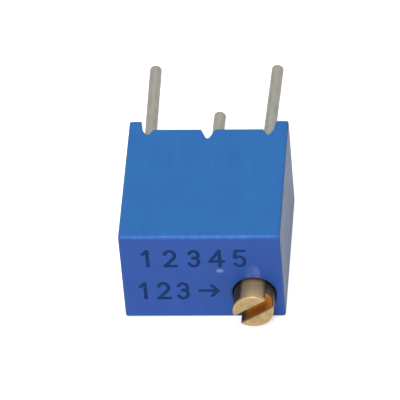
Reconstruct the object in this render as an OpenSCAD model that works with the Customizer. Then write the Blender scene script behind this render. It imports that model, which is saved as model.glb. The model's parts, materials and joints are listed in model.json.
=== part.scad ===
// Multi-turn trimmer potentiometer in a square sealed case, lying on its broad face.
// X runs across the row of pins, the pins leave towards +Y, the adjusting screw faces -Y and
// Z is the thickness. The origin is the centre of the case's underside. Millimetres.

/* [Case] */
// Width of the case
case_w = 6.7; // [6.6:0.05:7.2]
// Length from the front face to the tips of the stand-off feet
case_l = 7.0; // [6.95:0.05:7.6]
// Thickness between the two broad faces
case_t = 4.6; // [4.5:0.05:5]
// Wall at each side
side_wall = 0.35; // [0.25:0.01:0.38]
// Wall under each broad face
flat_wall = 0.42; // [0.32:0.01:0.45]
// Wall behind the front face
front_wall = 0.5; // [0.4:0.01:0.52]
// Radius of the moulded outer edges
edge_r = 0.11; // [0.05:0.01:0.25]

/* [Stand-off rim] */
// Height of the side walls' feet above the rim
foot_h = 0.5; // [0.3:0.05:0.6]
// Width of a foot at its tip, along the broad faces
foot_w = 0.52; // [0.4:0.02:0.6]
// How much wider a foot is at the rim
foot_flare = 0.08; // [0:0.01:0.12]
// Width of the middle vent notch
notch_w = 0.6; // [0.4:0.02:0.8]
// Depth of the middle vent notch
notch_d = 0.54; // [0.35:0.01:0.6]
// Width of the notches beside the outer pins
side_notch_w = 0.46; // [0.35:0.01:0.5]
// Depth of the notches beside the outer pins
side_notch_d = 0.32; // [0.25:0.01:0.45]
// Radius at the bottom of every notch
notch_r = 0.09; // [0.05:0.01:0.12]

/* [Pins] */
// Diameter of the pins
pin_d = 0.51; // [0.4:0.01:0.56]
// Distance from an outer pin's axis to the near side of the case
pin_inset = 0.81; // [0.78:0.01:0.95]
// Distance from each row of pins to the near broad face
pin_depth = 1.03; // [0.98:0.01:1.1]
// Free length of the outer pins beyond the feet
pin_free = 4.4; // [3:0.05:6]
// How much shorter the middle pin is
middle_pin_short = 0.16; // [0:0.02:0.5]
// Edge radius at the tip of a pin
pin_tip_r = 0.1; // [0.03:0.01:0.15]
// Radius of the bend inside the case, at the middle of the wire
bend_r = 0.35; // [0.3:0.01:0.38]
// Outward lean of pin 1 in degrees
pin_1_lean = 1.9; // [0.8:0.1:2]
// Lean of pin 2 towards pin 1 in degrees
pin_2_lean = 0.8; // [0.8:0.1:2]
// Outward lean of pin 3 in degrees
pin_3_lean = 0.8; // [0.8:0.1:2]
// How far pin 1 is set from its nominal place towards pin 2
pin_1_shift = 0.08; // [0:0.01:0.1]
// How far pin 2 is set from the middle towards pin 3
pin_2_shift = 0.07; // [0:0.01:0.08]

/* [Adjusting screw] */
// Diameter of the screw's shank
screw_d = 1.7; // [1.66:0.01:1.74]
// Distance from the screw's axis to the near side of the case
screw_side = 1.24; // [1.2:0.01:1.3]
// Distance from the screw's axis to the underside
screw_rise = 1.3; // [1.28:0.01:1.4]
// How far the screw stands out of the front face
screw_proud = 1.05; // [0.5:0.05:1.5]
// Width of the screwdriver slot
slot_w = 0.52; // [0.3:0.02:0.6]
// Depth of the screwdriver slot
slot_d = 0.5; // [0.3:0.02:0.6]
// Angle of the slot to the underside, in degrees
slot_angle = 33; // [0:1:180]
// Edge radius around the screw's end
screw_edge_r = 0.05; // [0.02:0.01:0.1]
// Radial clearance of the screw in its bore
bore_gap = 0.05; // [0.02:0.01:0.08]
// Depth of the lead-in at the mouth of the bore
lead_in = 0.08; // [0.02:0.01:0.12]
// Diameter at the bottom of the seal's groove
groove_d = 1.2; // [1.1:0.02:1.3]
// Diameter of the neck that the retainer straddles
neck_d = 1.1; // [0.9:0.02:1.2]
// Diameter of the screw's inner journal
tail_d = 0.8; // [0.6:0.02:0.9]

/* [Worm drive] */
// Teeth on the rotor
gear_teeth = 15; // [13:1:15]
// Module of the worm drive
gear_module = 0.22; // [0.2:0.005:0.22]
// Pitch diameter of the worm
worm_pitch_d = 1.2; // [1.1:0.02:1.24]
// Thickness of the rotor's toothed rim
gear_t = 0.8; // [0.6:0.05:0.9]
// Length of the threaded stretch
worm_l = 2.4; // [2:0.1:2.4]
// Play taken off each tooth and thread
backlash = 0.04; // [0.03:0.005:0.06]
// Diameter of the pivot that carries the rotor
pivot_d = 0.8; // [0.6:0.02:0.9]
// Running clearance of pivot, journal and thrust faces
run_gap = 0.03; // [0.02:0.01:0.05]

/* [Resistance element] */
// Thickness of the ceramic plate
plate_t = 0.6; // [0.5:0.02:0.64]
// Thickness of the printed films
film_t = 0.03; // [0.02:0.01:0.05]
// Middle radius of the resistive track
track_r = 1.35; // [1.25:0.01:1.45]
// Width of the resistive track
track_w = 0.4; // [0.3:0.02:0.5]
// Opening of the track's ring in degrees
track_gap = 60; // [50:1:66]
// Thickness of the wiper's spring strip
strip_t = 0.08; // [0.05:0.01:0.1]

/* [Closing] */
// Thickness of the moulded inner plate behind the drive
inner_plate_t = 0.75; // [0.7:0.01:0.8]
// Thickness of the epoxy seal
seal_t = 0.3; // [0.2:0.01:0.34]

/* [Hidden] */
$fn = 96;
eps = 0.01;
// Space left between two pieces that just miss each other
slack = 0.02;

// Case
half_w = case_w / 2;
front_y = -case_l / 2;
foot_y = case_l / 2;
rim_y = foot_y - foot_h;
seal_y = rim_y - notch_d;
room_w = case_w - 2 * side_wall;
room_y = front_y + front_wall;
floor_z = flat_wall;
roof_z = case_t - flat_wall;

// Pins
pin_r = pin_d / 2;
outer_pin_x = half_w - pin_inset;
pin_1_x = outer_pin_x - pin_1_shift;
pin_2_x = -pin_2_shift;
pin_3_x = -outer_pin_x;
outer_pin_z = case_t - pin_depth;
middle_pin_z = pin_depth;
wire_gap = 0.045;
hole_r = pin_r + wire_gap;
lean_r = 3 * pin_d;
lean_set_back = 0.05;
lean_y = foot_y - lean_set_back;

// Inner plate, and the wires' bends
inner_plate_y = seal_y - seal_t - inner_plate_t;
niche_wall = 0.17;
solder_edge = 0.06;
solder_r = hole_r + solder_edge;
solder_h = 0.22;
pad_r = solder_r + solder_edge;
middle_bend_y = inner_plate_y + inner_plate_t - niche_wall - solder_r;
outer_bend_y = inner_plate_y - pad_r - slack;
stub_l = 0.05;

// Ceramic plate, which the outer wires bend down through
plate_top_z = outer_pin_z - bend_r;
plate_z = plate_top_z - plate_t;
plate_front_gap = 0.1;
plate_y = room_y + plate_front_gap;
film_z = plate_z - film_t;

// Worm drive
screw_x = half_w - screw_side;
screw_z = screw_rise;
screw_r = screw_d / 2;
bore_r = screw_r + bore_gap;
lead = PI * gear_module;
gear_pitch_r = gear_module * gear_teeth / 2;
worm_pitch_r = worm_pitch_d / 2;
addendum = 0.9 * gear_module;
dedendum = 1.1 * gear_module;
gear_tip_r = gear_pitch_r + addendum;
gear_root_r = gear_pitch_r - dedendum;
worm_tip_r = worm_pitch_r + addendum;
worm_root_r = worm_pitch_r - dedendum;
tooth_w = lead / 2 - backlash;
flank = 20;
gear_back_gap = 0.16;
gear_x = screw_x - worm_pitch_r - gear_pitch_r;
gear_y = inner_plate_y - gear_back_gap - gear_tip_r;
gear_z = screw_z - gear_t / 2;
gear_top_z = gear_z + gear_t;
lead_angle = atan(lead / (2 * PI * worm_pitch_r));
gear_twist = gear_t * tan(lead_angle) / gear_pitch_r * 180 / PI;

// Screw boss, seal and retainer, counted back from the front wall
boss_wall = 0.25;
boss_r = bore_r + boss_wall;
boss_l = 0.8;
boss_y = room_y + boss_l;
groove_l = 0.34;
groove_set_back = 0.16;
groove_y = room_y - groove_set_back;
retainer_t = 0.2;
retainer_set_back = 0.42;
retainer_y = boss_y - retainer_set_back;
groove_r = groove_d / 2;
neck_r = neck_d / 2;
tail_r = tail_d / 2;
worm_clear = 0.15;
tail_y = gear_y + worm_l / 2 + worm_clear;
tail_l = 0.3;
tail_seat = 0.35;
shoulder_y = boss_y + slack;

// Rotor and wiper
pivot_r = pivot_d / 2;
pivot_cover = 0.3;
pivot_top_z = gear_top_z - pivot_cover;
hub_wall = 0.35;
hub_r = pivot_r + hub_wall;
rim_wall = 0.2;
rim_inner_r = gear_root_r - rim_wall;
rim_recess = 0.2;
stud_r = 0.12;
stud_at = 0.62;
wiper_disc_r = 1.0;
contact_z = film_z - slack;
contact_r = 0.09;
collector_r = 0.42;
line_w = 0.3;

// A shape's outline drawn across X and Z, then drawn out along Y
module along_y(y, l) translate([0, y + l, 0]) rotate([90, 0, 0]) linear_extrude(height = l) children();

// A shape of revolution about an axis that runs along +Y
module about_y(x, y, z) translate([x, y, z]) rotate([-90, 0, 0]) rotate_extrude() children();

module rounded_rect(w, h, r) {
    square([w - 2 * r, h], center = true);
    square([w, h - 2 * r], center = true);
    for (x = [-1, 1], y = [-1, 1]) translate([x * (w / 2 - r), y * (h / 2 - r)]) circle(r = r);
}

// ---- Housing ----

// The block with every edge rounded except at the open rear end
module case_block() {
    spare = 2 * edge_r;
    intersection() {
        along_y(front_y, case_l) translate([0, case_t / 2]) rounded_rect(case_w, case_t, edge_r);
        translate([0, spare / 2, 0]) linear_extrude(height = case_t)
            rounded_rect(case_w, case_l + spare, edge_r);
        translate([-half_w, spare / 2, case_t / 2]) rotate([90, 0, 90]) linear_extrude(height = case_w)
            rounded_rect(case_l + spare, case_t, edge_r);
    }
}

// A vee of width w and depth d below y = 0, with a round bottom tangent to both sides
module vee(w, d) {
    corner = [w / 2, 0];
    centre = [0, notch_r - d];
    reach = norm(centre - corner);
    side_l = sqrt(reach * reach - notch_r * notch_r);
    side_a = atan2(centre.y - corner.y, centre.x - corner.x) + asin(notch_r / reach);
    touch = corner + side_l * [cos(side_a), sin(side_a)];
    polygon([[-corner.x, eps], [-touch.x, touch.y], touch, corner + [0, eps]]);
    translate(centre) circle(r = notch_r);
}

// What is open between the feet, seen on the broad faces
module rim_opening() {
    tip = half_w - foot_w;
    base = tip - foot_flare;
    polygon([[-base, rim_y], [base, rim_y], [tip, foot_y + eps], [-tip, foot_y + eps]]);
    translate([0, rim_y]) vee(notch_w, notch_d);
    for (side = [-1, 1]) translate([side * outer_pin_x, rim_y]) vee(side_notch_w, side_notch_d);
}

// Bearing boss of the screw: a tube that grows out of the floor and the side wall
module boss_profile() {
    wall_x = half_w - side_wall / 2;
    low_z = floor_z / 2;
    intersection() {
        union() {
            translate([screw_x, screw_z]) circle(r = boss_r);
            translate([screw_x - boss_r, low_z]) square([wall_x - screw_x + boss_r, screw_z - low_z]);
            translate([screw_x, floor_z]) square([wall_x - screw_x, screw_z - floor_z + boss_r / 2]);
        }
        translate([0, low_z]) square([wall_x, plate_z - slack - low_z]);
    }
}

// Ledges that carry the ceramic plate and the two ribs that hold it down
module plate_guides() {
    ledge_w = 0.28;
    ledge_h = 0.3;
    ledge_stop = 0.65;
    ledge_l = outer_bend_y - ledge_stop - room_y;
    rib_w = 0.3;
    rib_x = 1.2;
    rib_stop = 0.1;
    rib_l = outer_bend_y - rib_stop - room_y;
    for (side = [-1, 1]) {
        translate([side * (room_w / 2 - ledge_w / 2), room_y + ledge_l / 2, plate_z - ledge_h / 2])
            cube([ledge_w, ledge_l, ledge_h], center = true);
        translate([side * rib_x, room_y + rib_l / 2, (plate_top_z + roof_z) / 2])
            cube([rib_w, rib_l, roof_z - plate_top_z], center = true);
    }
}

module housing() {
    color("#3a66b0") difference() {
        union() {
            difference() {
                case_block();
                translate([-room_w / 2, room_y, floor_z]) cube([room_w, case_l, roof_z - floor_z]);
            }
            along_y(room_y, boss_l) boss_profile();
            plate_guides();
            translate([gear_x, gear_y, floor_z]) cylinder(r = pivot_r, h = pivot_top_z - floor_z);
        }
        translate([0, 0, -eps]) linear_extrude(height = case_t + 2 * eps) rim_opening();
        about_y(screw_x, front_y - eps, screw_z) square([bore_r, front_wall + boss_l + 2 * eps]);
        about_y(screw_x, front_y, screw_z)
            polygon([[0, -eps], [bore_r + lead_in + eps, -eps], [bore_r, lead_in], [0, lead_in]]);
        along_y(retainer_y, retainer_t) retainer_slot();
    }
}

// ---- Adjusting screw with its seal and retainer ----

// Half section of the turned screw: radius across, distance behind the screw's end upwards
module screw_section() {
    r = screw_r;
    e = screw_edge_r;
    end_y = front_y - screw_proud;
    groove = [groove_y - groove_l / 2 - end_y, groove_y + groove_l / 2 - end_y];
    neck = [retainer_y - slack - end_y, retainer_y + retainer_t + slack - end_y];
    polygon([
        [0, 0], [r - e, 0], [r, e],
        [r, groove[0]], [groove_r, groove[0]], [groove_r, groove[1]], [r, groove[1]],
        [r, neck[0]], [neck_r, neck[0]], [neck_r, neck[1]], [r, neck[1]],
        [r, shoulder_y - end_y], [worm_root_r, shoulder_y - end_y],
        [worm_root_r, tail_y - end_y], [tail_r, tail_y - end_y],
        [tail_r, inner_plate_y + tail_l - end_y], [0, inner_plate_y + tail_l - end_y]
    ]);
    translate([r - e, e]) circle(r = e);
}

// Right-hand worm thread: a trapezium swept round the axis, which runs out at both ends
module worm_thread() {
    steps_per_turn = 30;
    turns = worm_l / lead;
    steps = floor(turns * steps_per_turn);
    sunk = 0.04;
    run_out_steps = 5;
    start_height = 0.25;
    root_r = worm_root_r - sunk;
    half_root = tooth_w / 2 + (worm_pitch_r - root_r) * tan(flank);
    half_tip = tooth_w / 2 - addendum * tan(flank);
    // At the side that meets the rotor, a gap of the thread is centred on the rotor's axis
    function turn_at(i) = (i / steps - 0.5) * turns;
    function height(i) = min(1, start_height + min(i, steps - i) / run_out_steps);
    function spot(i, r, shift) =
        let (t = turn_at(i) * 360)
        [screw_x + r * cos(t), gear_y + lead * turn_at(i) + shift, screw_z - r * sin(t)];
    function tip_r(i) = root_r + (worm_tip_r - root_r) * height(i);
    points = [
        for (i = [0:steps]) each [
            spot(i, root_r, -half_root), spot(i, tip_r(i), -half_tip),
            spot(i, tip_r(i), half_tip), spot(i, root_r, half_root)
        ]
    ];
    last = 4 * steps;
    polyhedron(points, [
        [3, 2, 1, 0],
        for (i = [0:steps - 1], k = [0:3])
            let (a = 4 * i, b = a + 4, n = (k + 1) % 4)
            each [[a + k, a + n, b + n], [a + k, b + n, b + k]],
        [last, last + 1, last + 2, last + 3]
    ], convexity = 8);
}

module adjusting_screw() {
    end_y = front_y - screw_proud;
    color("#c9a35f") difference() {
        union() {
            about_y(screw_x, end_y, screw_z) screw_section();
            worm_thread();
        }
        translate([screw_x, end_y, screw_z]) rotate([0, -slot_angle, 0])
            cube([2 * screw_d, 2 * slot_d, slot_w], center = true);
    }
}

// Rubber ring in the shank's groove, just clear of the bore that it seals
module o_ring() {
    outer_r = bore_r - slack;
    ring_r = (outer_r - groove_r) / 2;
    color("#222222") about_y(screw_x, groove_y, screw_z)
        translate([groove_r + ring_r, 0]) circle(r = ring_r);
}

// The pocket in the boss that the retainer drops into
module retainer_slot() {
    half = screw_r;
    translate([screw_x - half, floor_z]) square([2 * half, plate_z - floor_z]);
}

// Flat fork that straddles the screw's neck
module screw_retainer() {
    half = screw_r;
    fork_r = neck_r + run_gap;
    top_z = plate_z - slack;
    color("#b8bcc0") along_y(retainer_y, retainer_t) difference() {
        translate([screw_x - half, floor_z]) square([2 * half, top_z - floor_z]);
        translate([screw_x, screw_z]) circle(r = fork_r);
        translate([screw_x - fork_r, floor_z - eps]) square([2 * fork_r, screw_z - floor_z + eps]);
    }
}

// ---- Rotor and wiper ----

// Outline of the toothed rim, with involute flanks
module gear_outline() {
    base_r = gear_pitch_r * cos(flank);
    function roll(r) = r <= base_r ? 0 : tan(acos(base_r / r)) * 180 / PI - acos(base_r / r);
    function half_angle(r) = tooth_w / gear_pitch_r / 2 * 180 / PI + roll(gear_pitch_r) - roll(r);
    radii = [gear_root_r, base_r, gear_pitch_r, (gear_pitch_r + gear_tip_r) / 2, gear_tip_r];
    last = len(radii) - 1;
    function at(r, a) = r * [cos(a), sin(a)];
    polygon([
        for (i = [0:gear_teeth - 1])
            let (a = i * 360 / gear_teeth)
            each concat(
                [for (k = [0:last]) at(radii[k], a - half_angle(radii[k]))],
                [for (k = [last:-1:0]) at(radii[k], a + half_angle(radii[k]))]
            )
    ]);
}

module rotor_gear() {
    bottom_z = floor_z + run_gap;
    bore_z = pivot_top_z + run_gap;
    color("#e8e4d6") translate([gear_x, gear_y, 0]) difference() {
        union() {
            difference() {
                translate([0, 0, gear_z]) rotate([0, 0, -gear_twist / 2])
                    linear_extrude(height = gear_t, twist = -gear_twist, slices = 4) gear_outline();
                translate([0, 0, gear_z - eps]) cylinder(r = rim_inner_r, h = rim_recess + eps);
            }
            translate([0, 0, bottom_z]) cylinder(r = hub_r, h = gear_z + gear_t / 2 - bottom_z);
            for (side = [-1, 1]) translate([side * stud_at, 0, gear_top_z - gear_t / 2])
                cylinder(r = stud_r, h = gear_t / 2 + 2 * strip_t);
        }
        translate([0, 0, bottom_z - eps]) cylinder(r = pivot_r + run_gap, h = bore_z - bottom_z + eps);
    }
}

// A spring arm that rises from the disc to a rounded contact, outline across reach and height
module arm_outline(from, to) {
    low = gear_top_z + strip_t;
    high = contact_z - contact_r;
    polygon([
        [from, low - strip_t], [from + 3 * strip_t, low - strip_t], [to, high - contact_r / 2],
        [to, high + contact_r / 2], [to - contact_r, high + contact_r / 2], [from, low]
    ]);
    translate([to, high]) circle(r = contact_r);
}

module spring_arm(from, to, w) {
    rotate([90, 0, 0]) linear_extrude(height = w, center = true) arm_outline(from, to);
}

// Spring disc staked to the rotor, with a middle contact and a brush of three fingers
module wiper() {
    brush_w = 0.42;
    brush_from = 0.3;
    slit_w = 0.04;
    color("#d9b44a") translate([gear_x, gear_y, 0]) rotate([0, 0, -90]) {
        difference() {
            translate([0, 0, gear_top_z]) cylinder(r = wiper_disc_r, h = strip_t);
            for (side = [-1, 1]) translate([0, side * stud_at, gear_top_z - eps])
                cylinder(r = stud_r, h = strip_t + 2 * eps);
        }
        spring_arm(strip_t - wiper_disc_r, 0, line_w);
        difference() {
            spring_arm(brush_from, track_r, brush_w);
            for (side = [-1, 1])
                translate([wiper_disc_r / 2 + track_r, side * brush_w / 6, (gear_top_z + contact_z) / 2 + strip_t])
                cube([track_r, slit_w, contact_z - gear_top_z], center = true);
        }
    }
}

// ---- Resistance element on the ceramic plate ----

hole_spots = [[pin_1_x, outer_bend_y], [pin_2_x, middle_bend_y], [pin_3_x, outer_bend_y]];

module pin_holes(r) for (spot = hole_spots) translate(spot) circle(r = r);

module ceramic_plate() {
    color("#f4f1ea") translate([0, 0, plate_z]) linear_extrude(height = plate_t) difference() {
        translate([slack - room_w / 2, plate_y])
            square([room_w - 2 * slack, inner_plate_y + inner_plate_t - plate_y]);
        pin_holes(hole_r);
    }
}

// A film printed on the underside of the ceramic plate
module film() translate([0, 0, film_z]) linear_extrude(height = film_t) children();

// Ring round the rotor's axis, open towards the pins
module track_shape() {
    reach = 2 * track_r;
    half = track_gap / 2;
    translate([gear_x, gear_y]) difference() {
        circle(r = track_r + track_w / 2);
        circle(r = track_r - track_w / 2);
        polygon([[0, 0], reach * [sin(half), cos(half)], reach * [-sin(half), cos(half)]]);
    }
}

// A straight strip of width w between two points
module strip(a, b, w) {
    way = (b - a) / norm(b - a);
    side = w / 2 * [-way.y, way.x];
    polygon([a - side, b - side, b + side, a + side]);
}

module end_pad_shape(spot, side) {
    overlap_a = 8;
    start_a = track_gap / 2 - overlap_a;
    start = [gear_x, gear_y] + track_r * [side * sin(start_a), cos(start_a)];
    difference() {
        union() {
            strip(start, spot, track_w);
            translate(spot) circle(r = pad_r);
        }
        translate(spot) circle(r = hole_r);
        track_shape();
    }
}

module resistive_track() color("#3b3530") film() track_shape();

module collector_track() {
    color("#a9a7a0") film() difference() {
        union() {
            translate([gear_x, gear_y]) circle(r = collector_r);
            strip([gear_x, gear_y], hole_spots[1], line_w);
            translate(hole_spots[1]) circle(r = solder_r);
        }
        translate(hole_spots[1]) circle(r = hole_r);
    }
}

module end_pad_1() color("#b5b3ac") film() end_pad_shape(hole_spots[0], 1);

module end_pad_3() color("#b5b3ac") film() end_pad_shape(hole_spots[2], -1);

// ---- Pins ----

// Half section of a wire of length l whose far end is rounded
module wire_section(l) {
    square([pin_r, l - pin_tip_r]);
    square([pin_r - pin_tip_r, l]);
    translate([pin_r - pin_tip_r, l - pin_tip_r]) circle(r = pin_tip_r);
}

// A wire that reaches l along Y: a soft bend that leans it towards -X, then straight
module leaning_wire(lean, l) {
    bend_l = lean_r * sin(lean);
    translate([-lean_r, 0, 0])
        rotate_extrude(angle = lean) translate([lean_r, 0]) circle(r = pin_r);
    translate([lean_r * (cos(lean) - 1), bend_l, 0]) rotate([0, 0, lean])
        rotate([-90, 0, 0]) rotate_extrude() wire_section((l - bend_l) / cos(lean));
}

// A wire that comes in along Y at height z, turns at bend_y and then rises or falls to end_z
module bent_pin(bend_y, z, end_z, lean, free) {
    rise = end_z - z;
    way = sign(rise);
    color("#a3a098") translate([0, 0, z]) {
        translate([0, lean_y, 0]) leaning_wire(lean, foot_y + free - lean_y);
        along_y(bend_y + bend_r, lean_y - bend_y - bend_r) circle(r = pin_r);
        translate([0, bend_y + bend_r, way * bend_r]) rotate([0, -90, 0])
            rotate([0, 0, way > 0 ? 180 : -90])
            rotate_extrude(angle = 90) translate([bend_r, 0]) circle(r = pin_r);
        translate([0, bend_y, min(way * bend_r, rise)]) cylinder(r = pin_r, h = abs(rise) - bend_r);
    }
}

module outer_pin(lean) {
    bent_pin(outer_bend_y, outer_pin_z, film_z - solder_h - stub_l, lean, pin_free);
}

module pin_1() translate([pin_1_x, 0, 0]) mirror([1, 0, 0]) outer_pin(pin_1_lean);

module pin_2() {
    free = pin_free - middle_pin_short;
    translate([pin_2_x, 0, 0]) mirror([1, 0, 0])
        bent_pin(middle_bend_y, middle_pin_z, plate_top_z - stub_l, pin_2_lean, free);
}

module pin_3() translate([pin_3_x, 0, 0]) outer_pin(pin_3_lean);

// Solder cone under the film, drawn up into the plated hole
module solder_joint(spot) {
    color("#bfc1c4") translate([spot.x, spot.y, 0]) difference() {
        union() {
            translate([0, 0, film_z - solder_h])
                cylinder(r1 = hole_r, r2 = solder_r, h = solder_h);
            translate([0, 0, film_z]) cylinder(r = hole_r, h = film_t + plate_t - 2 * stub_l);
        }
        translate([0, 0, film_z - solder_h - eps])
            cylinder(r = pin_r, h = solder_h + film_t + plate_t);
    }
}

module solder_1() solder_joint(hole_spots[0]);

module solder_2() solder_joint(hole_spots[1]);

module solder_3() solder_joint(hole_spots[2]);

// ---- Closing pieces ----

// Moulded plate that carries the screw's journal and keeps the epoxy off the drive
module inner_plate() {
    niche_play = 0.1;
    niche_w = 2 * (solder_r + niche_play);
    niche_z = middle_pin_z - pin_r - niche_play;
    color("#2f4f86") difference() {
        translate([-room_w / 2, inner_plate_y, floor_z])
            cube([room_w, inner_plate_t, plate_z - floor_z]);
        translate([pin_2_x - niche_w / 2, inner_plate_y - eps, niche_z])
            cube([niche_w, inner_plate_t - niche_wall + eps, case_t]);
        about_y(screw_x, inner_plate_y - eps, screw_z) square([tail_r + run_gap, tail_seat + eps]);
        about_y(pin_2_x, inner_plate_y, middle_pin_z) square([pin_r, inner_plate_t + eps]);
    }
}

// Epoxy that fills the rear opening and lies over the end of the ceramic plate
module epoxy_seal() {
    tongue_l = 0.4;
    back_y = seal_y - seal_t;
    color("#27477f") difference() {
        union() {
            translate([-room_w / 2, back_y, floor_z]) cube([room_w, seal_t, roof_z - floor_z]);
            translate([-room_w / 2, back_y - tongue_l, plate_top_z])
                cube([room_w, tongue_l + seal_t, roof_z - plate_top_z]);
        }
        for (spot = [[pin_1_x, outer_pin_z], [pin_2_x, middle_pin_z], [pin_3_x, outer_pin_z]])
            about_y(spot.x, back_y - tongue_l - eps, spot.y) square([pin_r, case_l]);
    }
}

housing();
adjusting_screw();
o_ring();
screw_retainer();
rotor_gear();
wiper();
ceramic_plate();
resistive_track();
collector_track();
end_pad_1();
end_pad_3();
pin_1();
pin_2();
pin_3();
solder_1();
solder_2();
solder_3();
inner_plate();
epoxy_seal();
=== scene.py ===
"""Looks of a small sealed trimmer potentiometer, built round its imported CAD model."""
import json
import math

import bmesh
import bpy
from mathutils import Matrix, Vector


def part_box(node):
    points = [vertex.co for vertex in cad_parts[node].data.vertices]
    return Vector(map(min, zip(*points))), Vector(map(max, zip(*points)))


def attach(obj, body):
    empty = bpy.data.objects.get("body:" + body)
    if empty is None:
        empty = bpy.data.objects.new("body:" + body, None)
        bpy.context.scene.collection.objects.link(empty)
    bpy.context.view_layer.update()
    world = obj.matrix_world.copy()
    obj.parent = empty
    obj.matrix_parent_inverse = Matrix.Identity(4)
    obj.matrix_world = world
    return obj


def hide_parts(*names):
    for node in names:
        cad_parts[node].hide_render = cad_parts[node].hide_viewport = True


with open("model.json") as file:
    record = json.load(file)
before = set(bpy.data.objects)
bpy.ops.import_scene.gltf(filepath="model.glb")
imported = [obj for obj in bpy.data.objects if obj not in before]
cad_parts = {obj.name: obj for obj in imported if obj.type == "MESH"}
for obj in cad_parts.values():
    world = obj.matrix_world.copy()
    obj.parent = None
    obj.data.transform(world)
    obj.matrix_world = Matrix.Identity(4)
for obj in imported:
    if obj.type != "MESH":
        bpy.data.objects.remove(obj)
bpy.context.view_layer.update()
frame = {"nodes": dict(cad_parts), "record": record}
nodes = frame["nodes"]
scene = bpy.context.scene
MM = 0.001


# ---- Sizes in millimetres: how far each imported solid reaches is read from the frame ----

def box_mm(node):
    low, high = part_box(node)
    return low / MM, high / MM


case_low, case_high = box_mm("housing")
screw_low, screw_high = box_mm("adjusting_screw")
seal_low, seal_high = box_mm("epoxy_seal")
plate_low, plate_high = box_mm("ceramic_plate")
retainer_low, retainer_high = box_mm("screw_retainer")
gear_low, gear_high = box_mm("rotor_gear")

HALF_W = case_high.x
FRONT_Y, FOOT_Y = case_low.y, case_high.y
CASE_T = case_high.z
EDGE_R = 0.11
FRONT_WALL, SIDE_WALL = 0.5, 0.35
FOOT_H, FOOT_W, FOOT_FLARE = 0.5, 0.52, 0.08
RIM_Y = FOOT_Y - FOOT_H
OUTER_PIN_X = 2.54
NOTCH_R = 0.09
# Place across, width and depth of each notch
NOTCHES = ((0.0, 0.6, 0.54), (-OUTER_PIN_X, 0.46, 0.32), (OUTER_PIN_X, 0.46, 0.32))
SEAL_Y, SEAL_T = seal_high.y, 0.3
ROOM_HALF_W = seal_high.x
ROOM_Y = FRONT_Y + FRONT_WALL
FLOOR_Z, ROOF_Z = seal_low.z, seal_high.z
PLATE_Z, PLATE_TOP_Z = plate_low.z, plate_high.z
# Space left between two pieces that just miss each other
SLACK = 0.02

PIN_R, PIN_TIP_R = 0.255, 0.1
LEAN_SET_BACK = 0.05
BEND_R, LEAN_R, LEAN_Y = 0.35, 1.53, FOOT_Y - LEAN_SET_BACK
OUTER_PIN_Z, MIDDLE_PIN_Z = 3.57, 1.03
OUTER_BEND_Y, MIDDLE_BEND_Y = 0.97, 1.63
OUTER_END_Z, MIDDLE_END_Z = 2.32, 3.17
OUTER_FREE, MIDDLE_FREE = 4.4, 4.24
# Name, place across, height, lean in degrees, where it bends, where it ends, length past the feet
PINS = (
    ("pin_1", 2.46, OUTER_PIN_Z, 1.9, OUTER_BEND_Y, OUTER_END_Z, OUTER_FREE),
    ("pin_2", -0.07, MIDDLE_PIN_Z, 0.8, MIDDLE_BEND_Y, MIDDLE_END_Z, MIDDLE_FREE),
    ("pin_3", -OUTER_PIN_X, OUTER_PIN_Z, -0.8, OUTER_BEND_Y, OUTER_END_Z, OUTER_FREE),
)

SCREW_X, SCREW_Z = 2.11, 1.3
SCREW_R, BORE_R, BOSS_R = 0.85, 0.9, 1.15
SCREW_EDGE_R, LEAD_IN = 0.05, 0.08
SCREW_END_Y, SCREW_TAIL_Y = screw_low.y, screw_high.y
BOSS_L = 0.8
BOSS_Y, TAIL_Y, TAIL_R = ROOM_Y + BOSS_L, 0.75, 0.4
SLOT_ANGLE, SLOT_W, SLOT_D = 33, 0.52, 0.5
GROOVE_R, GROOVE = 0.6, (-3.33, -2.99)
NECK_R, NECK = 0.55, (retainer_low.y - SLACK, retainer_high.y + SLACK)
GEAR_MODULE, BACKLASH = 0.22, 0.04
LEAD = math.pi * GEAR_MODULE
WORM_PITCH_R, WORM_TIP_R, WORM_ROOT_R, WORM_L = 0.6, 0.798, 0.358, 2.4
TOOTH_W, ADDENDUM, FLANK = LEAD / 2 - BACKLASH, 0.198, 20
GEAR_X = (gear_low.x + gear_high.x) / 2
GEAR_Y = (gear_low.y + gear_high.y) / 2
# From the top of the rotor's studs down to the end of the pivot inside it
PIVOT_DROP = 0.46
PIVOT_R, PIVOT_TOP_Z = 0.4, gear_high.z - PIVOT_DROP


# ---- Camera ----

AZIMUTH = math.radians(7.209)
ELEVATION = math.radians(43.409)
ROLL = math.radians(-5.248)
DISTANCE = 260 * MM
TARGET = Vector((0, 0, 2.3 * MM))
SIDESTEP, LIFT = -0.3083 * MM, 0.7816 * MM
LENS, SENSOR = 560, 36
NEAREST, FARTHEST = 0.01, 10


def add_camera():
    back = Vector((math.sin(AZIMUTH) * math.cos(ELEVATION),
                   -math.cos(AZIMUTH) * math.cos(ELEVATION), math.sin(ELEVATION)))
    level = Vector((math.cos(AZIMUTH), math.sin(AZIMUTH), 0))
    up = back.cross(level)
    side = math.cos(ROLL) * level + math.sin(ROLL) * up
    top = math.cos(ROLL) * up - math.sin(ROLL) * level
    data = bpy.data.cameras.new("camera")
    data.lens = LENS
    data.sensor_width = SENSOR
    data.clip_start, data.clip_end = NEAREST, FARTHEST
    camera = bpy.data.objects.new("camera", data)
    scene.collection.objects.link(camera)
    place = TARGET + back * DISTANCE + side * SIDESTEP + top * LIFT
    turn = Matrix((side, top, back)).transposed().to_4x4()
    camera.matrix_world = Matrix.Translation(place) @ turn
    scene.camera = camera


# ---- Materials ----

def linear(red, green, blue):
    """Linear light from an sRGB colour of 0 to 255."""
    parts = (c / 255 for c in (red, green, blue))
    return tuple(c / 12.92 if c <= 0.04045 else ((c + 0.055) / 1.055) ** 2.4 for c in parts)


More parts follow.
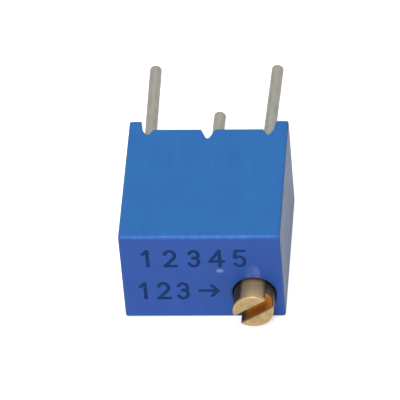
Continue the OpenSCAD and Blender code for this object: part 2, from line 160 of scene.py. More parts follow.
def add_node(tree, kind, inputs=None, **settings):
    """A new node: sockets given as inputs are linked, constants are set."""
    node = tree.nodes.new(kind)
    for key, value in settings.items():
        setattr(node, key, value)
    for key, value in (inputs or {}).items():
        if isinstance(value, bpy.types.NodeSocket):
            tree.links.new(value, node.inputs[key])
        else:
            node.inputs[key].default_value = value
    return node


class Nodes:
    """A material's node tree, with short names for what the surfaces below are made of."""

    SOCKETS = {"colour": "Base Color", "rough": "Roughness", "metal": "Metallic",
               "specular": "Specular IOR Level", "dust": "Sheen Weight",
               "dust_spread": "Sheen Roughness", "dust_tint": "Sheen Tint", "normal": "Normal"}

    def __init__(self, name):
        self.material = bpy.data.materials.new(name)
        self.material.use_nodes = True
        self.tree = self.material.node_tree
        self.shader = self.tree.nodes["Principled BSDF"]
        self.coords = self.add("ShaderNodeTexCoord").outputs["Object"]

    def add(self, kind, inputs=None, **settings):
        return add_node(self.tree, kind, inputs, **settings)

    def vector(self, operation, a, b):
        return self.add("ShaderNodeVectorMath", {0: a, 1: b}, operation=operation).outputs[0]

    def noise(self, size, detail=2.0, stretch=(1, 1, 1), rough=0.5, warp=0.0, place=None):
        """Noise of 0 to 1 whose features are about size metres across."""
        place = self.vector("MULTIPLY", place or self.coords, stretch)
        return self.add("ShaderNodeTexNoise", {
            "Vector": place, "Scale": 1 / size, "Detail": detail, "Roughness": rough,
            "Distortion": warp}).outputs["Fac"]

    def ramp(self, value, low, high, to_low=0.0, to_high=1.0):
        return self.add("ShaderNodeMapRange", {
            "Value": value, "From Min": low, "From Max": high,
            "To Min": to_low, "To Max": to_high}, interpolation_type="SMOOTHSTEP").outputs[0]

    def math(self, operation, a, b):
        return self.add("ShaderNodeMath", {0: a, 1: b}, operation=operation).outputs[0]

    def near(self, point, reach, stretch=(1, 1, 1)):
        """One near a point, given in metres, and fading to nothing at its reach. A stretch of
        zero along an axis makes a line of the point."""
        off = self.vector("MULTIPLY", self.vector("SUBTRACT", self.coords, point), stretch)
        away = self.add("ShaderNodeVectorMath", {0: off}, operation="LENGTH").outputs["Value"]
        return self.ramp(away, reach * 0.5, reach, to_low=1.0, to_high=0.0)

    def facing(self, way):
        """One where the surface looks along a way in the object's own axes, with the rounded
        edges in between."""
        normal = self.add("ShaderNodeTexCoord").outputs["Normal"]
        share = self.add("ShaderNodeVectorMath", {0: normal, 1: way}, operation="DOT_PRODUCT")
        return self.ramp(share.outputs["Value"], 0.3, 0.9)

    def mix(self, share, a, b):
        """One colour where the share is zero and another where it is one."""
        node = self.add("ShaderNodeMix", data_type="RGBA")
        for key, value in ((0, share), (6, a), (7, b)):
            self.put(node.inputs[key], value)
        return node.outputs[2]

    def put(self, socket, value):
        """Links a texture to a socket, or sets it to a number or a colour."""
        if isinstance(value, bpy.types.NodeSocket):
            self.tree.links.new(value, socket)
        else:
            socket.default_value = (*value, 1) if isinstance(value, tuple) else value

    def set(self, **values):
        """Sets the shader's sockets under their short names."""
        for key, value in values.items():
            self.put(self.shader.inputs[self.SOCKETS[key]], value)

    def bump(self, *layers):
        """Stacks bumps of (height of 0 to 1, depth in metres) and gives the shader the result."""
        normal = None
        for height, depth in layers:
            inputs = {"Height": height, "Distance": depth, "Strength": 1.0}
            if normal:
                inputs["Normal"] = normal
            normal = self.add("ShaderNodeBump", inputs).outputs[0]
        self.set(normal=normal)


def moulded_plastic(name, colour, shade, rough=0.45, grain=1.2e-6, specular=0.3,
                    faces=(), wear_and_painted_light=(), dust=0.0):
    """Satin moulded plastic: cloudy colour, flow streaks, fine grain and scuffs. Some have faces
    tinted with painted shade for how light falls on each face, rubbed marks, patches of painted
    highlight and reflection, and a film of warm dust that shows at a low angle."""
    m = Nodes(name)
    clouds = m.noise(1.5 * MM, detail=3, rough=0.6)
    flow = m.noise(0.42 * MM, detail=4, stretch=(1, 0.22, 0.6), warp=0.5)
    fine = m.noise(0.03 * MM, detail=3)
    scratches = m.noise(0.2 * MM, detail=6, stretch=(0.3, 1, 1), rough=0.65)
    scuffs = m.ramp(scratches, 0.64, 0.8)
    shading = m.math("ADD", m.math("MULTIPLY", clouds, 0.55), m.math("MULTIPLY", flow, 0.45))
    cloudy = m.ramp(shading, 0.32, 0.68)
    pale = tuple(min(1, c * 1.2 + 0.02) for c in colour)
    skin = m.mix(m.math("MULTIPLY", scuffs, 0.3), m.mix(cloudy, colour, shade), pale)
    # Each face listed gets its own tint: painted shade for how light falls on that face
    for way, tint in faces:
        darker = tuple(c * 0.92 for c in tint)
        skin = m.mix(m.facing(way), skin, m.mix(cloudy, tint, darker))
    # Rubbed marks, and patches of painted highlight and reflection
    for point, reach, stretch, tint in wear_and_painted_light:
        uneven = m.ramp(m.noise(0.3 * MM, detail=4, rough=0.7), 0.38, 0.6, to_low=0.35)
        skin = m.mix(m.math("MULTIPLY", m.near(point, reach, stretch), uneven), skin, tint)
    smooth = m.ramp(flow, 0.3, 0.7, to_low=rough - 0.02, to_high=rough + 0.03)
    m.set(colour=skin, specular=specular, dust=dust, dust_spread=0.2, dust_tint=(1.0, 0.7, 0.4),
          rough=m.math("ADD", smooth, m.math("MULTIPLY", scuffs, 0.1)))
    m.bump((fine, grain), (flow, 0.3e-6))
    return m.material


def drawn_metal(name, colour, stain, rough, along, grain=1.2e-6):
    """Metal with fine lines along a stretch, dull stains and small pits."""
    m = Nodes(name)
    lines = m.noise(0.05 * MM, detail=3, stretch=along)
    stains = m.noise(0.3 * MM, detail=4, stretch=tuple(max(share, 0.4) for share in along), rough=0.6)
    pits = m.ramp(m.noise(0.08 * MM), 0.66, 0.8)
    dull = m.ramp(stains, 0.38, 0.68, to_high=0.5)
    m.set(colour=m.mix(m.math("ADD", dull, m.math("MULTIPLY", pits, 0.4)), colour, stain), metal=1.0,
          rough=m.ramp(stains, 0.3, 0.7, to_low=rough - 0.05, to_high=rough + 0.1))
    m.bump((lines, grain), (stains, 3e-6))
    return m.material


def turned_brass(name):
    """Brass off a lathe: rings round the axis and dull patches, with painted shade: dark streaks
    along the shank's flanks that stand for the dark reflection of the front face, a dark streak at
    the slot's lower end, and a browner cut slot that stands for the shade inside it."""
    m = Nodes(name)
    axis = (SCREW_X * MM, 0, SCREW_Z * MM)
    out = m.vector("MULTIPLY", m.vector("SUBTRACT", m.coords, axis), (1, 0, 1))
    away = m.add("ShaderNodeVectorMath", {0: out}, operation="LENGTH").outputs["Value"]
    along = m.add("ShaderNodeSeparateXYZ", {0: m.coords}).outputs["Y"]
    place = m.add("ShaderNodeCombineXYZ", {0: away, 1: along}).outputs[0]
    rings = m.noise(0.022 * MM, detail=3, place=place)
    wide_rings = m.noise(0.09 * MM, place=place)
    dull = m.noise(0.35 * MM, detail=5, rough=0.65)

    def deeper(low, high, **ends):
        """A ramp between two depths behind the screw's end."""
        return m.ramp(along, (SCREW_END_Y + low) * MM, (SCREW_END_Y + high) * MM, **ends)

    def shade_streak(angle, reach):
        """Painted shade along the shank, at an angle from straight up, patchy and short of the end."""
        middle = ((SCREW_X + SCREW_R * math.sin(math.radians(angle))) * MM, 0,
                  (SCREW_Z + SCREW_R * math.cos(math.radians(angle))) * MM)
        share = m.math("MULTIPLY", m.near(middle, reach * MM, (1, 0, 1)), deeper(0.03, 0.2))
        return m.math("MULTIPLY", share, m.ramp(dull, 0.2, 0.6, to_low=0.75))

    # Inside the cut slot, in front of the neck: painted shade as a browner brass
    inside = m.ramp(away, (SCREW_R - 0.05) * MM, (SCREW_R - 0.02) * MM, to_low=1.0, to_high=0.0)
    before_neck = deeper(SLOT_D, SLOT_D + 0.1, to_low=1.0, to_high=0.0)
    slot_shade = m.math("MULTIPLY", m.math("MULTIPLY", deeper(0.05, 0.16), inside), before_neck)
    skin = m.mix(m.ramp(dull, 0.35, 0.7, to_high=0.8), BRASS, BRASS_DULL)
    skin = m.mix(m.ramp(wide_rings, 0.4, 0.75, to_high=0.25), skin, BRASS_PALE)
    # Painted shade: dark streaks on both flanks that stand for the dark reflection of the front face
    for angle in FLANK_SHADE_ANGLES:
        skin = m.mix(shade_streak(angle, 0.52), skin, SHANK_SHADE)
    skin = m.mix(slot_shade, skin, BRASS_SLOT_SHADE)
    # The colour gets painted shade as a dark streak at the slot's lower end
    m.set(colour=m.mix(shade_streak(SLOT_END_SHADE_ANGLE, 0.5), skin, SHANK_SHADE), metal=1.0,
          rough=m.ramp(dull, 0.3, 0.7, to_low=0.54, to_high=0.62))
    m.bump((rings, 1.1e-6), (wide_rings, 1.6e-6), (dull, 2.5e-6))
    return m.material


def floor_paper():
    """Pale paper that shows white to the camera and in reflections, and keeps the shadow."""
    m = Nodes("floor_paper")
    grain = m.noise(0.6 * MM, detail=3)
    grey, pale_grey = (0.84, 0.84, 0.84), (0.86, 0.86, 0.86)
    m.set(colour=m.mix(m.ramp(grain, 0.3, 0.7), grey, pale_grey), rough=0.9)
    path = m.add("ShaderNodeLightPath")
    mirrored = m.math("MAXIMUM", path.outputs["Is Glossy Ray"], path.outputs["Is Transmission Ray"])
    glow = m.math("ADD", m.math("MULTIPLY", path.outputs["Is Camera Ray"], 0.6),
                  m.math("MULTIPLY", mirrored, 0.2))
    light = m.add("ShaderNodeEmission", {"Color": (1, 1, 1, 1), "Strength": glow})
    both = m.add("ShaderNodeAddShader", {0: m.shader.outputs[0], 1: light.outputs[0]})
    m.tree.links.new(both.outputs[0], m.tree.nodes["Material Output"].inputs["Surface"])
    return m.material


BLUE = linear(32, 103, 171)
BLUE_SHADE = linear(29, 97, 166)
# Painted shade: the front and the sides are tinted for how light falls on them
FRONT_PAINTED_SHADE = linear(39, 85, 172)
SIDE_PAINTED_SHADE = linear(34, 84, 136)
# Painted highlight along the top front edge
EDGE_PAINTED_HIGHLIGHT = linear(52, 108, 192)
RUBBED = linear(136, 164, 216)
# Painted reflection of the screw on the front face over the bore, and a paler streak in it
PAINTED_REFLECTION = linear(66, 98, 182)
PAINTED_REFLECTION_STREAK = linear(84, 108, 188)


def front_wear_or_painted_light(x, z, reach, stretch, tint):
    """A rubbed mark or a patch of painted light on the front face, with its place and reach turned into
    metres.
    """
    return (x * MM, FRONT_Y * MM, z * MM), reach * MM, stretch, tint


NICK_X, NICK_Z = 0.76, 2.66
NICK_HALF_W, NICK_HALF_H = 0.15, 0.035
# Height of the painted reflection over the bore
REFLECTION_Z = SCREW_Z + BORE_R + 0.2
# The rubbed nick, then painted light: the painted reflection of the screw over the bore with a paler
# streak in it, and a painted highlight along the edge of the top face
WEAR_AND_PAINTED_LIGHT = (
    front_wear_or_painted_light(NICK_X, NICK_Z, 0.2, (1, 1, 1.6), RUBBED),
    front_wear_or_painted_light(SCREW_X, REFLECTION_Z, 0.66, (1.7, 1, 0.9), PAINTED_REFLECTION),
    front_wear_or_painted_light(SCREW_X + 0.16, REFLECTION_Z + 0.1, 0.55, (3.2, 1, 1), PAINTED_REFLECTION_STREAK),
    front_wear_or_painted_light(0, CASE_T, 0.15, (0, 1, 1), EDGE_PAINTED_HIGHLIGHT),
)
# The way that a face looks, and its painted shade for how light falls on that face
FACE_PAINTED_SHADES = (((0, -1, 0), FRONT_PAINTED_SHADE), ((1, 0, 0), SIDE_PAINTED_SHADE), ((-1, 0, 0), SIDE_PAINTED_SHADE))
BRASS = linear(191, 166, 118)
BRASS_DULL = linear(160, 134, 92)
BRASS_PALE = linear(226, 204, 170)
# Painted shade: the browner brass inside the slot
BRASS_SLOT_SHADE = linear(182, 132, 62)
# Painted shade on the shank's flanks and at the slot's lower end
SHANK_SHADE = linear(74, 66, 54)
# Angles from straight up of the painted shade: on both flanks of the shank, and at the slot's lower end
FLANK_SHADE_ANGLES = (-60, 58)
SLOT_END_SHADE_ANGLE = -90 - SLOT_ANGLE
materials = {
    "blue_plastic": moulded_plastic("moulded_blue", BLUE, BLUE_SHADE, faces=FACE_PAINTED_SHADES, wear_and_painted_light=WEAR_AND_PAINTED_LIGHT,
                                    dust=0.1),
    "inner_plastic": moulded_plastic("inner_blue", linear(40, 80, 140), linear(34, 70, 126)),
    "epoxy": moulded_plastic("cast_epoxy", linear(24, 62, 128), linear(20, 52, 112), rough=0.2,
                             grain=0.5e-6, specular=0.5),
    "rotor_plastic": moulded_plastic("natural_plastic", linear(232, 226, 205), linear(220, 212, 188)),
    "seal_rubber": moulded_plastic("black_rubber", linear(30, 30, 30), linear(22, 22, 22), rough=0.6),
    "alumina": moulded_plastic("alumina", linear(240, 236, 226), linear(228, 224, 214), rough=0.6,
                               grain=2.5e-6),
    "cermet_film": moulded_plastic("cermet", linear(62, 54, 48), linear(48, 42, 38), rough=0.5,
                                   grain=3e-6),
    "screw_brass": turned_brass("turned_brass"),
    "tinned_wire": drawn_metal("tinned_wire", linear(160, 158, 149), linear(140, 137, 127), rough=0.5,
                               along=(1, 0.1, 1), grain=1.6e-6),
    "solder": drawn_metal("solder", linear(196, 197, 200), linear(158, 158, 158), rough=0.3,
                          along=(1, 1, 1)),
    "retainer_steel": drawn_metal("spring_steel", linear(185, 187, 190), linear(150, 150, 150),
                                  rough=0.3, along=(0.1, 1, 1)),
    "contact_alloy": drawn_metal("contact_alloy", linear(222, 190, 120), linear(180, 140, 80),
                                 rough=0.25, along=(1, 0.1, 1)),
    "conductor_film": drawn_metal("silver_film", linear(190, 188, 182), linear(150, 148, 142),
                                  rough=0.5, along=(1, 1, 1)),
}
marking_ink = moulded_plastic("marking_ink", linear(14, 48, 96), linear(26, 60, 114), rough=0.6,
                              specular=0.1)


# ---- Mesh helpers: pieces are drawn in millimetres, in the imported model's frame ----

# Points that are nearer than this are one, and a ring of less than this radius is a tip
MERGED, TIP_R = 1e-5, 1e-6


def new_mesh(name, points, faces):
    data = bpy.data.meshes.new(name)
    data.from_pydata([tuple(p) for p in points], [], [tuple(f) for f in faces])
    obj = bpy.data.objects.new(name, data)
    scene.collection.objects.link(obj)
    face_outwards(obj)
    return obj


def face_outwards(obj):
    bm = bmesh.new()
    bm.from_mesh(obj.data)
    bmesh.ops.remove_doubles(bm, verts=bm.verts, dist=MERGED)
    bmesh.ops.recalc_face_normals(bm, faces=bm.faces)
    bm.to_mesh(obj.data)
    bm.free()


def finish_piece(obj, name, body, material, sharp=40):
    """Scales a finished piece from millimetres, smooths it, and gives it its look and body."""
    obj.name = name
    face_outwards(obj)
    obj.data.transform(Matrix.Scale(MM, 4))
    obj.data.polygons.foreach_set("use_smooth", [True] * len(obj.data.polygons))
    obj.data.set_sharp_from_angle(angle=math.radians(sharp))
    level = obj.modifiers.new("flat_faces_stay_flat", "WEIGHTED_NORMAL")
    level.keep_sharp = True
    obj.data.materials.clear()
    obj.data.materials.append(material)
    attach(obj, body)


def dress(obj, name, body, slot, node, sharp=40):
    """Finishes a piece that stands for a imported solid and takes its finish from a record's slot."""
    finish_piece(obj, name, body, materials[slot], sharp)
    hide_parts(node)


def apply_modifiers(obj):
    evaluated = obj.evaluated_get(bpy.context.evaluated_depsgraph_get())
    data = bpy.data.meshes.new_from_object(evaluated)
    obj.modifiers.clear()
    obj.data = data


def combine(obj, other, operation="DIFFERENCE"):
    """Cuts another object out of the first, or joins it on, and removes the other."""
    modifier = obj.modifiers.new("combine", "BOOLEAN")
    modifier.object = other
    modifier.operation = operation
    modifier.solver = "EXACT"
    apply_modifiers(obj)
    bpy.data.objects.remove(other)


def soften(obj, width, angle):
    """Breaks the edges that turn by more than an angle with a small round."""
    modifier = obj.modifiers.new("soften", "BEVEL")
    modifier.width = width
    modifier.segments = 2
    modifier.limit_method = "ANGLE"
    modifier.angle_limit = math.radians(angle)
    apply_modifiers(obj)


def block(low, high):
    """A box between two corners."""
    points = [(x, y, z) for x in (low[0], high[0]) for y in (low[1], high[1])
              for z in (low[2], high[2])]
    faces = [(0, 1, 3, 2), (4, 6, 7, 5), (0, 4, 5, 1), (2, 3, 7, 6), (0, 2, 6, 4), (1, 5, 7, 3)]
    return new_mesh("block", points, faces)


def prism(outline, low, high):
    """A closed outline in X and Y drawn up from one height to another."""
    count = len(outline)
    points = [(*p, level) for level in (low, high) for p in outline]
    sides = [(i, (i + 1) % count, count + (i + 1) % count, count + i) for i in range(count)]
    return new_mesh("prism", points, [range(count), range(count, 2 * count), *sides])


def arc(centre, radius, start, end, steps):
    """Points from one angle to another, in degrees, about a centre."""
    return [(centre[0] + radius * math.cos(math.radians(start + (end - start) * i / steps)),
             centre[1] + radius * math.sin(math.radians(start + (end - start) * i / steps)))
            for i in range(steps + 1)]


def joined_rings(loops):
    """Points and faces of a skin over rings. A ring of one point closes to a tip."""
    points, starts, faces = [], [], []
    for loop in loops:
        starts.append(len(points))
        points += loop
    for a, b, loop_a, loop_b in zip(starts, starts[1:], loops, loops[1:]):
        count = max(len(loop_a), len(loop_b))
        for i in range(count):
            n = (i + 1) % count
            if len(loop_a) == 1:
                faces.append((a, b + n, b + i))
            elif len(loop_b) == 1:
                faces.append((a + i, a + n, b))
            else:
                faces.append((a + i, a + n, b + n, b + i))
    for start, loop in ((starts[0], loops[0]), (starts[-1], loops[-1])):
        if len(loop) > 2:
            faces.append(range(start, start + len(loop)))
    return points, faces


def turned(profile, x, z, count=128):
    """A shape turned about an axis along Y, from (radius, y) pairs."""
    loops = []
    for radius, y in profile:
        if radius < TIP_R:
            loops.append([(x, y, z)])
        else:
            loops.append([(x + radius * math.cos(2 * math.pi * i / count), y,
                           z + radius * math.sin(2 * math.pi * i / count)) for i in range(count)])
    return new_mesh("turned", *joined_rings(loops))


def bar_rings(path, radii, count, side=Vector((1, 0, 0))):
    """Rings of a round bar along any path, carried along without twist."""
    loops = []
    for i, (point, radius) in enumerate(zip(path, radii)):
        before, after = path[max(i - 1, 0)], path[min(i + 1, len(path) - 1)]
        way = (after - before).normalized()
        side = (side - way * side.dot(way)).normalized()
        up = way.cross(side)
        loops.append([point + radius * (math.cos(a) * side + math.sin(a) * up)
                      for a in (2 * math.pi * k / count for k in range(count))])
    return loops


# ---- Housing ----

def vee_outline(x, width, depth, steps=12):
    """A vee with a round bottom, cut into the rim at x, as points in X and Y."""
    corner = (width / 2, 0.0)
    centre = (0.0, NOTCH_R - depth)
    reach = math.dist(corner, centre)
    side = math.sqrt(reach * reach - NOTCH_R * NOTCH_R)
    angle = math.atan2(centre[1] - corner[1], centre[0] - corner[0]) + math.asin(NOTCH_R / reach)
    touch = (corner[0] + side * math.cos(angle), corner[1] + side * math.sin(angle))
    turn = math.degrees(math.atan2(touch[1] - centre[1], touch[0] - centre[0]))
    bottom = arc(centre, NOTCH_R, -180 - turn, turn, steps)
    above = 0.3
    points = [(-corner[0], above), (-corner[0], 0), *bottom, corner, (corner[0], above)]
    return [(x + px, RIM_Y + py) for px, py in points]


def rounded_block():
    """The case's block with round edges, too long, so that its rear end can be cut off sharp."""
    spare = 1
    shell = block((-HALF_W, FRONT_Y, 0), (HALF_W, FOOT_Y + spare, CASE_T))
    bm = bmesh.new()
    bm.from_mesh(shell.data)
    bmesh.ops.bevel(bm, geom=bm.edges[:] + bm.verts[:], offset=EDGE_R, segments=6, profile=0.5,
                    affect="EDGES", clamp_overlap=True)
    bm.to_mesh(shell.data)
    bm.free()
    return shell


def add_room_details(shell):
    """What is moulded inside: the screw's boss, the plate's ledges and ribs, and the pivot. The
    retainer's slot is cut into it at the end."""
    wall = ROOM_HALF_W + SIDE_WALL / 2
    sunk = 0.1
    front = ROOM_Y - sunk
    # The boss's webs end a little before it, so that no two ends lie in one plane
    step = 0.001
    boss = turned([(0, front), (BOSS_R, front), (BOSS_R, BOSS_Y), (0, BOSS_Y)], SCREW_X, SCREW_Z, 96)
    combine(boss, block((SCREW_X - BOSS_R, front, FLOOR_Z / 2),
                        (wall, BOSS_Y - step, SCREW_Z)), "UNION")
    combine(boss, block((SCREW_X, front, FLOOR_Z),
                        (wall, BOSS_Y - 2 * step, SCREW_Z + BOSS_R / 2)), "UNION")
    combine(shell, boss, "UNION")
    ledge_w, ledge_h, ledge_stop = 0.28, 0.3, 0.65
    rib_x, rib_w, rib_stop = 1.2, 0.3, 0.1
    for side in (-1, 1):
        low, high = sorted((side * (ROOM_HALF_W - ledge_w), side * wall))
        combine(shell, block((low, front, PLATE_Z - ledge_h),
                             (high, OUTER_BEND_Y - ledge_stop, PLATE_Z)), "UNION")
        combine(shell, block((side * rib_x - rib_w / 2, front, PLATE_TOP_Z),
                             (side * rib_x + rib_w / 2, OUTER_BEND_Y - rib_stop, ROOF_Z + sunk)),
                "UNION")
    corners = 48
    pivot = arc((GEAR_X, GEAR_Y), PIVOT_R, 0, 360 - 360 / corners, corners - 1)
    combine(shell, prism(pivot, FLOOR_Z - sunk, PIVOT_TOP_Z), "UNION")
    combine(shell, block((SCREW_X - SCREW_R, retainer_low.y, FLOOR_Z),
                         (SCREW_X + SCREW_R, retainer_high.y, PLATE_Z)))


def add_housing():
    shell = rounded_block()
    aside, far, spare = 9, FOOT_Y + 2, 1
    combine(shell, block((-aside, FOOT_Y, -aside), (aside, far, aside)))
    combine(shell, block((-ROOM_HALF_W, ROOM_Y, FLOOR_Z), (ROOM_HALF_W, far, ROOF_Z)))
    add_room_details(shell)
    # What lies between the corner feet, which are wider at the rim
    tip = HALF_W - FOOT_W
    base = tip - FOOT_FLARE
    reach = 0.3
    slope = FOOT_FLARE / FOOT_H * reach
    opening = [(-base, RIM_Y), (base, RIM_Y),
               (tip + slope, FOOT_Y + reach), (-tip - slope, FOOT_Y + reach)]
    combine(shell, prism(opening, -spare, CASE_T + spare))
    for notch in NOTCHES:
        combine(shell, prism(vee_outline(*notch), -spare, CASE_T + spare))
    mouth_r, over = BORE_R + LEAD_IN, 0.1
    bore = turned([(0, FRONT_Y - over), (mouth_r + over, FRONT_Y - over), (mouth_r, FRONT_Y),
                   (BORE_R, FRONT_Y + LEAD_IN), (BORE_R, BOSS_Y + over), (0, BOSS_Y + over)],
                  SCREW_X, SCREW_Z)
    combine(shell, bore)
    # A round lens, flattened to the nick's size
    nick = turned([(0, -0.02), (0.75, -0.012), (1, 0), (0.75, 0.012), (0, 0.02)], 0, 0, 24)
    place = Matrix.Translation((NICK_X, FRONT_Y, NICK_Z))
    nick.data.transform(place @ Matrix.Diagonal((NICK_HALF_W, 1, NICK_HALF_H, 1)))
    combine(shell, nick)
    soften(shell, width=0.022, angle=40)
    dress(shell, "case_shell", "case", "blue_plastic", "housing", sharp=50)


# ---- Marking: plain counting figures and an arrow, in raised ink on the front face ----

def figure_strokes():
    """Strokes of each sign on a field one wide and one high, from its lower left corner."""
    bow = arc((0.5, 0.72), 0.27, 160, -50, 10)
    return {
        "1": [[(0.28, 0.78), (0.55, 1.0)], [(0.55, 1.0), (0.55, 0.0)]],
        "2": [[*arc((0.5, 0.7), 0.3, 165, -35, 10), (0.18, 0.0)], [(0.18, 0.0), (0.85, 0.0)]],
        "3": [[*bow, (0.45, 0.52)], [(0.45, 0.52), *arc((0.48, 0.28), 0.29, 75, -155, 12)]],
        "4": [[(0.7, 0.0), (0.7, 1.0)], [(0.7, 1.0), (0.12, 0.3)], [(0.12, 0.3), (0.92, 0.3)]],
        "5": [[(0.8, 1.0), (0.28, 1.0)], [(0.28, 1.0), (0.22, 0.56)],
              [(0.22, 0.56), *arc((0.48, 0.31), 0.31, 110, -145, 14)]],
        ">": [[(0.0, 0.5), (1.0, 0.5)], [(0.68, 0.85), (1.0, 0.5)], [(1.0, 0.5), (0.68, 0.15)]],
    }


def add_marking():
    stroke_r, proud = 0.077, 0.006
    height, figure_w, arrow_w = 0.86, 0.7, 0.74
    high_row, low_row = 2.95, 1.1
    # The foot of a row, its signs, their middles and their width
    rows = (
        (high_row, "12345", (-2.24, -1.27, -0.28, 0.65, 1.62), figure_w),
        (low_row, "123", (-2.45, -1.65, -0.84), figure_w),
        (low_row, ">", (0.23,), arrow_w),
    )
    signs = [(sign, middle, low, wide) for low, row, middles, wide in rows
             for sign, middle in zip(row, middles)]
    figures = figure_strokes()
    points, faces = [], []
    for sign, middle, low, wide in signs:
        for stroke in figures[sign]:
            corners = [Vector((middle + (u - 0.5) * wide, 0, low + v * height)) for u, v in stroke]
            path, radii = rounded_ends(corners, stroke_r)
            ring_points, ring_faces = joined_rings(bar_rings(path, radii, 16, Vector((0, 1, 0))))
            start = len(points)
            points += [(p[0], FRONT_Y + p[1] * proud / stroke_r, p[2]) for p in ring_points]
            faces += [[start + i for i in face] for face in ring_faces]
    ink = new_mesh("ink", points, faces)
    finish_piece(ink, "front_marking", "case", marking_ink, sharp=60)


def rounded_ends(corners, radius, steps=5):
    """A bar's path and radii with half round ends, which stop short of a point."""
    last = math.radians(85)
    path, radii = list(corners), [radius] * len(corners)
    for end, inner, back in ((0, 1, True), (-1, -2, False)):
        way = (corners[end] - corners[inner]).normalized()
        cap = [(corners[end] + way * radius * math.sin(a), radius * math.cos(a))
               for a in (last * i / steps for i in range(1, steps + 1))]
        if back:
            cap.reverse()
            path, radii = [c[0] for c in cap] + path, [c[1] for c in cap] + radii
        else:
            path, radii = path + [c[0] for c in cap], radii + [c[1] for c in cap]
    return path, radii


# ---- Epoxy seal, drawn up a little at the walls and round the wires ----

def add_seal():
    back_y = SEAL_Y - SEAL_T
    dip, climb, fade = 0.05, 0.09, 0.13
    sag_h, wave_x, wave_z, shift = 0.012, 2.1, 1.7, 0.6
    columns, rows = 150, 96

    def level(x, z):
        """How far back the face lies at a place, from its distances to the walls and wires."""
        walls = min(ROOM_HALF_W - abs(x), z - FLOOR_Z, ROOF_Z - z)
        wires = min(math.hypot(x - pin_x, z - pin_z) - PIN_R for _, pin_x, pin_z, *_ in PINS)
        rise = max(math.exp(-max(walls, 0) / fade), math.exp(-max(wires, 0) / fade))
        sag = sag_h * math.sin(wave_x * x + shift) * math.sin(wave_z * z)
        return SEAL_Y - dip + sag * (1 - rise) + climb * rise

    xs = [-ROOM_HALF_W + 2 * ROOM_HALF_W * i / columns for i in range(columns + 1)]
    zs = [FLOOR_Z + (ROOF_Z - FLOOR_Z) * i / rows for i in range(rows + 1)]
    points = [(x, level(x, z), z) for z in zs for x in xs]
    across = columns + 1
    faces = [(r * across + c, r * across + c + 1, (r + 1) * across + c + 1, (r + 1) * across + c)
             for r in range(rows) for c in range(columns)]
    rim = [*range(across), *(r * across + columns for r in range(1, rows + 1)),
           *(rows * across + c for c in range(columns - 1, -1, -1)),
           *(r * across for r in range(rows - 1, 0, -1))]
    base = len(points)
    points += [(points[i][0], back_y, points[i][2]) for i in rim]
    count = len(rim)
    faces += [(rim[i], rim[(i + 1) % count], base + (i + 1) % count, base + i) for i in range(count)]
    faces.append(range(base, base + count))
    seal = new_mesh("seal", points, faces)
    tongue_l, sunk = 0.4, 0.05
    tongue = block((-ROOM_HALF_W, back_y - tongue_l, PLATE_TOP_Z), (ROOM_HALF_W, back_y + sunk, ROOF_Z))
    combine(seal, tongue, "UNION")
    dress(seal, "seal_fill", "case", "epoxy", "epoxy_seal")


# ---- Pins ----

def add_pin(name, x, z, lean, bend_y, end_z, free):
    """A wire that stands in the ceramic, bends and leaves through the seal, then leans a little."""
    bend_steps, lean_steps, free_steps, tip_steps, around = 10, 3, 24, 6, 44
    way = 1 if end_z > z else -1
    lean = math.radians(lean)
    sign = math.copysign(1, lean)
    bend_l = LEAN_R * math.sin(abs(lean))
    quarter = math.radians(90)
    path = [Vector((x, bend_y, end_z))]
    path += [Vector((x, bend_y + BEND_R - BEND_R * math.cos(a), z + way * BEND_R * (1 - math.sin(a))))
             for a in (quarter * i / bend_steps for i in range(bend_steps + 1))]
    path += [Vector((x + sign * LEAN_R * (1 - math.cos(a)), LEAN_Y + LEAN_R * math.sin(a), z))
             for a in (abs(lean) * i / lean_steps for i in range(lean_steps + 1))]
    start = path[-1]
    along = Vector((math.sin(lean), math.cos(lean), 0))
    length = (FOOT_Y + free - LEAN_Y - bend_l) / math.cos(lean) - PIN_TIP_R
    path += [start + along * length * i / free_steps for i in range(1, free_steps + 1)]
    radii = [PIN_R] * len(path)
    for a in (quarter * i / tip_steps for i in range(1, tip_steps + 1)):
        path.append(start + along * (length + PIN_TIP_R * math.sin(a)))
        radii.append(PIN_R - PIN_TIP_R + PIN_TIP_R * math.cos(a))
    wire = new_mesh("wire", *joined_rings(bar_rings(path, radii, around)))
    dress(wire, name + "_wire", "case", "tinned_wire", name)


# ---- Adjusting screw ----

def worm_thread():
    """A right-hand trapezium thread swept round the axis, which runs out at both ends."""
    turns = WORM_L / LEAD
    per_turn, run_out, start_height, sunk = 60, 10, 0.25, 0.04
    steps = int(turns * per_turn)
    root = WORM_ROOT_R - sunk
    half_root = TOOTH_W / 2 + (WORM_PITCH_R - root) * math.tan(math.radians(FLANK))
    half_tip = TOOTH_W / 2 - ADDENDUM * math.tan(math.radians(FLANK))
    loops = []
    for i in range(steps + 1):
        turn = (i / steps - 0.5) * turns
        tip = root + (WORM_TIP_R - root) * min(1, start_height + min(i, steps - i) / run_out)
        c, s = math.cos(2 * math.pi * turn), math.sin(2 * math.pi * turn)
        section = ((root, -half_root), (tip, -half_tip), (tip, half_tip), (root, half_root))
        loops.append([(SCREW_X + r * c, GEAR_Y + LEAD * turn + shift, SCREW_Z - r * s)
                      for r, shift in section])
    return new_mesh("thread", *joined_rings(loops))


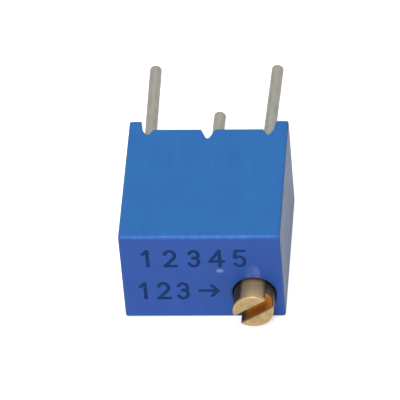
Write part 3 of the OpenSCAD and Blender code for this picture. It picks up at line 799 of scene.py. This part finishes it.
def add_screw():
    end, e = SCREW_END_Y, SCREW_EDGE_R
    shoulder_y = BOSS_Y + SLACK
    edge_steps = 5
    profile = [(0, end)]
    profile += [(SCREW_R - e + e * math.sin(a), end + e - e * math.cos(a))
                for a in (math.radians(90) * i / edge_steps for i in range(edge_steps + 1))]
    for low_r, (low_y, high_y) in ((GROOVE_R, GROOVE), (NECK_R, NECK)):
        profile += [(SCREW_R, low_y), (low_r, low_y), (low_r, high_y), (SCREW_R, high_y)]
    profile += [(SCREW_R, shoulder_y), (WORM_ROOT_R, shoulder_y), (WORM_ROOT_R, TAIL_Y),
                (TAIL_R, TAIL_Y), (TAIL_R, SCREW_TAIL_Y), (0, SCREW_TAIL_Y)]
    screw = turned(profile, SCREW_X, SCREW_Z)
    combine(screw, worm_thread(), "UNION")
    aside = 2
    cutter = block((-aside, -SLOT_D, -SLOT_W / 2), (aside, SLOT_D, SLOT_W / 2))
    turn = Matrix.Rotation(-math.radians(SLOT_ANGLE), 4, "Y")
    cutter.data.transform(Matrix.Translation((SCREW_X, end, SCREW_Z)) @ turn)
    combine(screw, cutter)
    soften(screw, width=0.018, angle=50)
    dress(screw, "screw_shank", "screw", "screw_brass", "adjusting_screw")


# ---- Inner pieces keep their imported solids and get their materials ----

def dress_packed():
    for entry in frame["record"]["subparts"]:
        obj = nodes[entry["node"]]
        material = materials[entry["material_slot"]]
        if obj.material_slots:
            for slot in obj.material_slots:
                slot.material = material
        else:
            obj.data.materials.append(material)


# ---- Stage and light ----

def add_lamp(name, way, distance, size, strength):
    """A square lamp that looks at the object, whose strength is the light that a face
    square to it gets, as a share of what shows a colour as written."""
    way = Vector(way).normalized()
    data = bpy.data.lights.new(name, "AREA")
    data.size = size
    data.energy = strength * math.pi * math.pi * distance * distance
    lamp = bpy.data.objects.new(name, data)
    lamp.location = way * distance
    lamp.rotation_mode = "QUATERNION"
    lamp.rotation_quaternion = way.to_track_quat("Z", "Y")
    scene.collection.objects.link(lamp)


def add_world(diffuse_level):
    """An even white surround that is dimmer as a light than as a background."""
    world = bpy.data.worlds.new("world")
    scene.world = world
    world.use_nodes = True
    tree = world.node_tree
    path = add_node(tree, "ShaderNodeLightPath").outputs
    mirrored = add_node(tree, "ShaderNodeMath", {
        0: path["Is Glossy Ray"], 1: path["Is Transmission Ray"]}, operation="MAXIMUM")
    seen = add_node(tree, "ShaderNodeMath", {
        0: path["Is Camera Ray"], 1: mirrored.outputs[0]}, operation="MAXIMUM")
    level = add_node(tree, "ShaderNodeMapRange", {
        "Value": seen.outputs[0], "To Min": diffuse_level, "To Max": 1.0})
    background = tree.nodes["Background"]
    background.inputs["Color"].default_value = (1, 1, 1, 1)
    tree.links.new(level.outputs[0], background.inputs["Strength"])


def add_stage():
    """A wide floor just under the part, the surround and two lamps."""
    half, low = 1.0, -2e-5
    data = bpy.data.meshes.new("floor")
    data.from_pydata([(-half, -half, low), (half, -half, low), (half, half, low), (-half, half, low)],
                     [], [(0, 1, 2, 3)])
    data.materials.append(floor_paper())
    floor = bpy.data.objects.new("floor", data)
    scene.collection.objects.link(floor)
    add_world(diffuse_level=0.34)
    add_lamp("soft_box_above", (0.01, -0.04, 0.999), distance=0.5, size=0.08, strength=0.5)
    add_lamp("lamp_by_camera", (-0.12, -0.74, 0.66), distance=0.5, size=0.12, strength=0.38)


add_camera()
dress_packed()
add_housing()
add_marking()
add_seal()
for pin in PINS:
    add_pin(*pin)
add_screw()
add_stage()
scene.view_settings.view_transform = "Standard"
